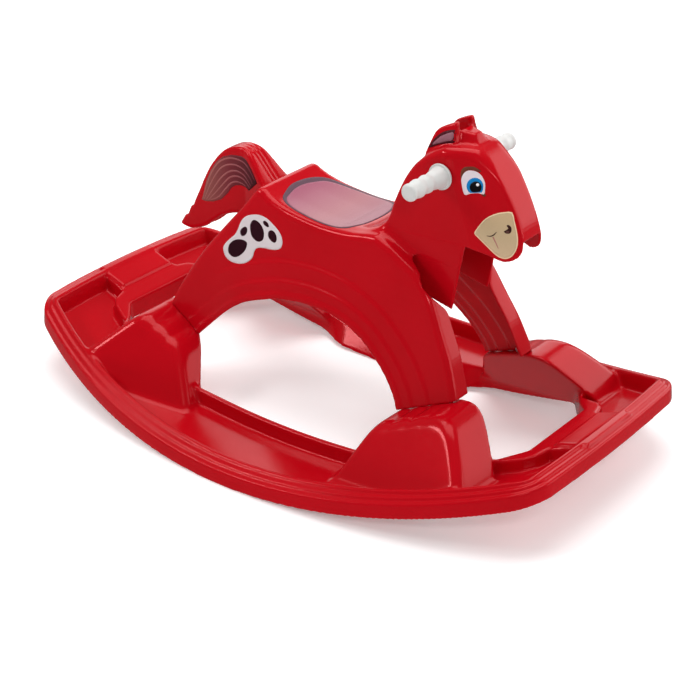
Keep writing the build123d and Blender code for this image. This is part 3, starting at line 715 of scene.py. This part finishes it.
EYE_W = loop([(225.3, 395.5), (220.4, 409.1), (219.7, 416.4), (222.2, 423.2), (227.1, 427.1), (233.3, 428.0), (239.6, 426.6), (245.4, 422.0), (249.7, 414.4), (250.5, 406.2), (249.9, 399.5), (242.2, 400.0), (233.5, 398.1)], 3)
IRIS = [(247.1, 401.5), (248.3, 406.0), (248.3, 410.0), (247.4, 413.3), (245.6, 416.2), (243.0, 418.2), (239.9, 419.4), (236.6, 419.4), (233.4, 418.4), (230.6, 416.4), (228.4, 413.6), (227.2, 410.3), (227.0, 406.8), (227.9, 403.5), (229.7, 400.7), (232.3, 398.9), (238.0, 399.6), (243.0, 400.8)]
PUPIL = loop([(246.3, 408.2), (246.1, 405.4), (245.1, 402.9), (243.2, 401.8), (240.9, 401.0), (238.2, 400.4), (235.7, 400.2), (233.5, 401.3), (232.0, 403.3), (231.2, 405.9), (231.4, 408.6), (232.5, 411.2), (234.4, 413.2), (236.7, 414.5), (239.3, 414.9), (241.9, 414.4), (244.1, 412.9), (245.6, 410.8)], 2)
GLINT = loop([(242.9, 411.2), (242.4, 409.6), (241.1, 408.9), (239.6, 409.3), (238.9, 410.7), (239.3, 412.1), (240.7, 413.0), (242.2, 412.6)], 2)
LID = loop([(218.7, 415.6), (218.2, 425.4), (221.9, 430.8), (229.3, 432.8), (235.5, 432.8), (243.4, 428.7), (239.6, 427.4), (234.0, 428.6), (228.6, 428.2), (223.5, 425.2), (220.7, 420.6)], 3)
LASH = [(245.8, 400.2), (251.1, 400.6), (252.9, 398.3), (249.9, 396.2), (247.1, 398.1)]
MUZ = loop([(242.6, 346.4), (245.9, 354.4), (252.0, 364.7), (259.3, 371.9), (269.4, 377.7), (278.0, 380.4), (287.1, 381.4), (291.3, 370.9), (296.6, 355.1), (298.5, 345.1), (298.2, 335.7), (295.1, 326.8), (290.4, 321.3), (284.4, 319.0), (277.1, 320.0), (269.5, 324.4), (257.8, 333.8), (248.0, 341.6)], 2)
MUZ_IN = loop([(243.9, 346.9), (246.9, 353.8), (252.8, 363.6), (259.9, 370.7), (269.9, 376.4), (278.3, 379.1), (286.3, 379.9), (290.2, 370.5), (295.3, 354.7), (297.2, 344.9), (296.9, 336.1), (294.1, 327.8), (289.6, 322.6), (284.1, 320.5), (277.6, 321.4), (270.2, 325.7), (258.6, 334.9), (248.8, 342.8)], 2)
NOSTRIL = loop([(282.2, 363.2), (284.9, 364.7), (288.4, 361.7), (289.0, 356.6), (286.7, 353.3), (282.6, 353.0), (279.9, 355.2), (283.4, 358.2), (284.7, 360.4)], 3)
NOSTRIL_IN = loop([(282.0, 355.0), (284.7, 356.7), (286.9, 355.7), (285.9, 353.9), (283.2, 353.7)], 3)
SADDLE = loop([(-86, 0), (-85, -14), (-80, -30), (-73.5, -44), (-62, -51.5), (-45, -55.5), (-20, -58.3), (10, -59.6), (33, -58), (49, -51), (59, -32), (63, -2), (61, 24), (53, 46), (38, 58), (12, 60), (-20, 59.5), (-48, 57), (-64, 53), (-75, 45), (-82, 30), (-85, 14)], 3)
SADDLE_IN = loop([(-78.5, 0), (-77.5, -14), (-74, -28), (-69.5, -40), (-60, -48.5), (-45, -53), (-20, -56), (10, -57.4), (32, -55.8), (47, -49), (56.8, -31), (60.6, -2), (58.6, 23), (50.5, 44), (36, 54.8), (12, 56.5), (-20, 55), (-46, 51.5), (-60, 47), (-69, 39.5), (-74.5, 26), (-77.5, 13)], 3)

for nm, sd in (("right", -1), ("left", 1)):
    build_trim("rump_spots_visual_" + nm, "rump_spots_sticker_" + nm, [(RUMP, 0.22, F_WHITE)] + [(loop(q, 3), 0.34, F_PLUM) for q in SPOTS], sd)
    build_trim("tail_trim_visual_" + nm, "tail_sticker_" + nm, [(TAIL, 0.22, F_TAIL)] + [(ribbon(q, [0.6, 2.2, 2.6, 2.2, 1.6]), 0.32, F_HAIR) for q in HAIR], sd)
    build_trim("ear_trim_visual_" + nm, "ear_sticker_" + nm, [(EAR_OUT, 0.2, F_EAR), (EAR_IN, 0.3, F_EARIN)], sd)
    build_trim("eye_visual_" + nm, "eye_sticker_" + nm, [(LID, 0.2, F_LID), (EYE_W, 0.26, F_EYE), (IRIS, 0.34, F_BLUE), (PUPIL, 0.42, F_BLACK), (GLINT, 0.5, F_GLINT), (LASH, 0.24, F_LID)], sd)
    build_trim("muzzle_visual_" + nm, "muzzle_sticker_" + nm, [
        (MUZ, 0.2, F_CREAM), (MUZ_IN, 0.28, F_BEIGE),
        (ribbon([(258.8, 346.0), (263.7, 346.2), (267.5, 348.5), (270.6, 352.8)], [0.6, 1.3, 1.5, 0.7]), 0.38, F_LINE),
        (ribbon([(266.9, 345.6), (270.6, 339.6), (275.2, 331.5)], [1.6, 1.5, 0.8]), 0.36, F_PINK),
        (NOSTRIL, 0.38, F_LINE), (NOSTRIL_IN, 0.46, F_NOSE)], sd)
build_trim("saddle_visual", "saddle_sticker", [(SADDLE, 0.3, F_BORDER), (SADDLE_IN, 0.42, F_SADDLE)], 0)

for name, ob in NODES.items():
    if name in ("handle_rod", "foot_screws"):
        ob.data.materials.clear()
        ob.data.materials.append(STEEL)

scene.view_settings.view_transform = "Standard"
scene.view_settings.look = "None"

# ------------------------------------------------------------------- floor
def floor_material():
    mat, nt, b = nt_of("studio_floor")
    n = noise(nt, 3.0, 2.0)
    nt.links.new(ramp(nt, n, [(0.3, (0.93, 0.93, 0.93)), (0.7, (0.95, 0.95, 0.95))]), b.inputs["Base Color"])
    b.inputs["Roughness"].default_value = 0.9
    b.inputs["Emission Color"].default_value = (1.0, 1.0, 1.0, 1.0)
    b.inputs["Emission Strength"].default_value = 0.26
    return mat


me = bpy.data.meshes.new("floor")
s = 14.0
me.from_pydata([(-s, -s, 0), (s, -s, 0), (s, s, 0), (-s, s, 0)], [], [(0, 1, 2, 3)])
me.materials.append(floor_material())
floor = bpy.data.objects.new("floor", me)
scene.collection.objects.link(floor)
floor.visible_glossy = False

# ------------------------------------------------------------------- lights
world = bpy.data.worlds.new("studio")
scene.world = world
world.use_nodes = True
world.node_tree.nodes["Background"].inputs["Color"].default_value = (1, 1, 1, 1)
world.node_tree.nodes["Background"].inputs["Strength"].default_value = 0.22


def area(name, loc, aim, size, size_y, power):
    d = bpy.data.lights.new(name, "AREA")
    d.shape = "RECTANGLE"
    d.size, d.size_y = size, size_y
    d.energy = power
    o = bpy.data.objects.new(name, d)
    scene.collection.objects.link(o)
    o.location = loc
    o.rotation_euler = (Vector(aim) - Vector(loc)).to_track_quat("-Z", "Y").to_euler()
    return o


area("top_soft", (-0.2, 0.3, 2.5), (0, 0, 0.15), 2.2, 1.8, 46)
area("back_wall", (-2.3, 2.9, 1.8), (0, 0, 0.3), 4.0, 2.2, 38)
area("right_wall", (1.5, 2.9, 1.5), (0, 0, 0.3), 2.8, 2.2, 44)
area("front_soft", (2.7, 1.2, 1.0), (0, 0, 0.3), 1.2, 1.4, 14)
area("left_soft", (-1.75, -1.7, 1.95), (0, 0, 0.2), 1.1, 0.5, 26)
area("lens_soft", (1.75, -1.60, 1.75), (0, 0, 0.25), 0.8, 0.34, 14)
